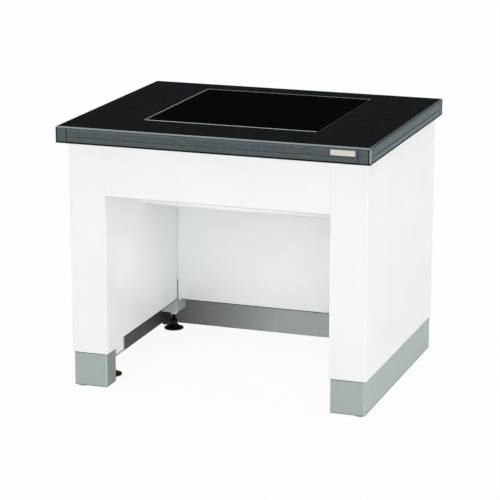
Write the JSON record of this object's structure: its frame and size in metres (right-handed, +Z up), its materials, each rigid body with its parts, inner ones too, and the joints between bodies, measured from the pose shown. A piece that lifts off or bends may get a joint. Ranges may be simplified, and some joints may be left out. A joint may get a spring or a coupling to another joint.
{
  "type": "weighing table",
  "caption": "Laboratory weighing table: worktop on two boxed legs, with a black stone plate let into it on an independent steel stand with levelling feet.",
  "frame": {"origin": "on the floor, under the middle of the worktop", "axes": "+X to the user's right along the worktop's width, +Y to the back, +Z up"},
  "size_m": [0.9, 0.75, 0.76],
  "materials": {
    "worktop_core": "bare particle board, hidden",
    "worktop_laminate": "black decorative laminate, semi-gloss with a fine grain",
    "edge_strip": "grey extruded strip with fine ribs",
    "corner_cap": "smooth moulded grey",
    "name_plate": "satin, blank",
    "lining": "satin anodised",
    "stone": "polished black granite",
    "white_panel": "white melamine facing, satin",
    "bead": "white, satin",
    "plinth": "grey-green, matt",
    "body_frame": "dark brown-grey powder coat",
    "stand_frame": "light grey powder coat",
    "zinc": "bright zinc plate",
    "black_plastic": "moulded black",
    "black_steel": "black oxide",
    "rubber": "matt black"
  },
  "bodies": {
    "root": {"top_board": "worktop_core", "top_laminate": "worktop_laminate", "edge_band_front": "edge_strip", "edge_band_rear": "edge_strip", "edge_band_left": "edge_strip", "edge_band_right": "edge_strip", "corner_caps": "corner_cap", "name_plate": "name_plate", "cutout_lining": "lining", "side_panel_left": "white_panel", "side_panel_right": "white_panel", "leg_front_left": "white_panel", "leg_front_right": "white_panel", "inner_panel_left": "white_panel", "inner_panel_right": "white_panel", "apron": "white_panel", "stretcher_board": "white_panel", "knee_back_panel": "white_panel", "rear_panel": "white_panel", "corner_beads": "bead", "bead_screws": "zinc", "front_plinth_left": "plinth", "front_plinth_right": "plinth", "side_plinth_left": "plinth", "side_plinth_right": "plinth", "rear_plinth": "plinth", "body_posts": "body_frame", "upper_rail_left": "body_frame", "upper_rail_right": "body_frame", "lower_rail_left": "body_frame", "lower_rail_right": "body_frame", "front_rail": "body_frame", "rear_rail": "body_frame", "body_glides": "black_plastic", "top_cleats": "zinc", "top_screws": "zinc", "stand_post_front_left": "stand_frame", "stand_post_front_right": "stand_frame", "stand_post_rear_left": "stand_frame", "stand_post_rear_right": "stand_frame", "stand_beam_front": "stand_frame", "stand_beam_rear": "stand_frame", "stand_rail_left": "stand_frame", "stand_rail_right": "stand_frame", "stand_lower_rail_left": "stand_frame", "stand_lower_rail_right": "stand_frame", "stand_lower_beam": "stand_frame", "post_caps": "stand_frame", "foot_plates": "stand_frame", "weld_nuts": "zinc", "stone_cushions": "rubber"},
    "stone": {"stone_plate": "stone"},
    "foot_front_left": {"adjuster_foot_front_left": "black_plastic"},
    "screw_front_left": {"adjuster_stem_front_left": "black_steel"},
    "foot_front_right": {"adjuster_foot_front_right": "black_plastic"},
    "screw_front_right": {"adjuster_stem_front_right": "black_steel"},
    "foot_rear_left": {"adjuster_foot_rear_left": "black_plastic"},
    "screw_rear_left": {"adjuster_stem_rear_left": "black_steel"},
    "foot_rear_right": {"adjuster_foot_rear_right": "black_plastic"},
    "screw_rear_right": {"adjuster_stem_rear_right": "black_steel"}
  },
  "joints": [
    {"name": "stone_lift", "type": "slide", "parent": "root", "child": "stone", "axis": [0, 0, 1], "range_m": [0, 0.08]},
    {"name": "height_front_left", "type": "slide", "parent": "root", "child": "foot_front_left", "axis": [0, 0, -1], "range_m": [-0.015, 0.025]},
    {"name": "turn_front_left", "type": "hinge", "parent": "foot_front_left", "child": "screw_front_left", "pos_m": [-0.3715, -0.193, 0.012], "axis": [0, 0, -1], "range_deg": [-3086, 5143.2]},
    {"name": "height_front_right", "type": "slide", "parent": "root", "child": "foot_front_right", "axis": [0, 0, -1], "range_m": [-0.015, 0.025]},
    {"name": "turn_front_right", "type": "hinge", "parent": "foot_front_right", "child": "screw_front_right", "pos_m": [0.3715, -0.193, 0.012], "axis": [0, 0, -1], "range_deg": [-3086, 5143.2]},
    {"name": "height_rear_left", "type": "slide", "parent": "root", "child": "foot_rear_left", "axis": [0, 0, -1], "range_m": [-0.015, 0.025]},
    {"name": "turn_rear_left", "type": "hinge", "parent": "foot_rear_left", "child": "screw_rear_left", "pos_m": [-0.3715, 0.3, 0.012], "axis": [0, 0, -1], "range_deg": [-3086, 5143.2]},
    {"name": "height_rear_right", "type": "slide", "parent": "root", "child": "foot_rear_right", "axis": [0, 0, -1], "range_m": [-0.015, 0.025]},
    {"name": "turn_rear_right", "type": "hinge", "parent": "foot_rear_right", "child": "screw_rear_right", "pos_m": [0.3715, 0.3, 0.012], "axis": [0, 0, -1], "range_deg": [-3086, 5143.2]}
  ],
  "couplings": [
    {"joint": "turn_front_left", "follows": "height_front_left", "rad_per_m": 3590.4},
    {"joint": "turn_front_right", "follows": "height_front_right", "rad_per_m": 3590.4},
    {"joint": "turn_rear_left", "follows": "height_rear_left", "rad_per_m": 3590.4},
    {"joint": "turn_rear_right", "follows": "height_rear_right", "rad_per_m": 3590.4}
  ]
}
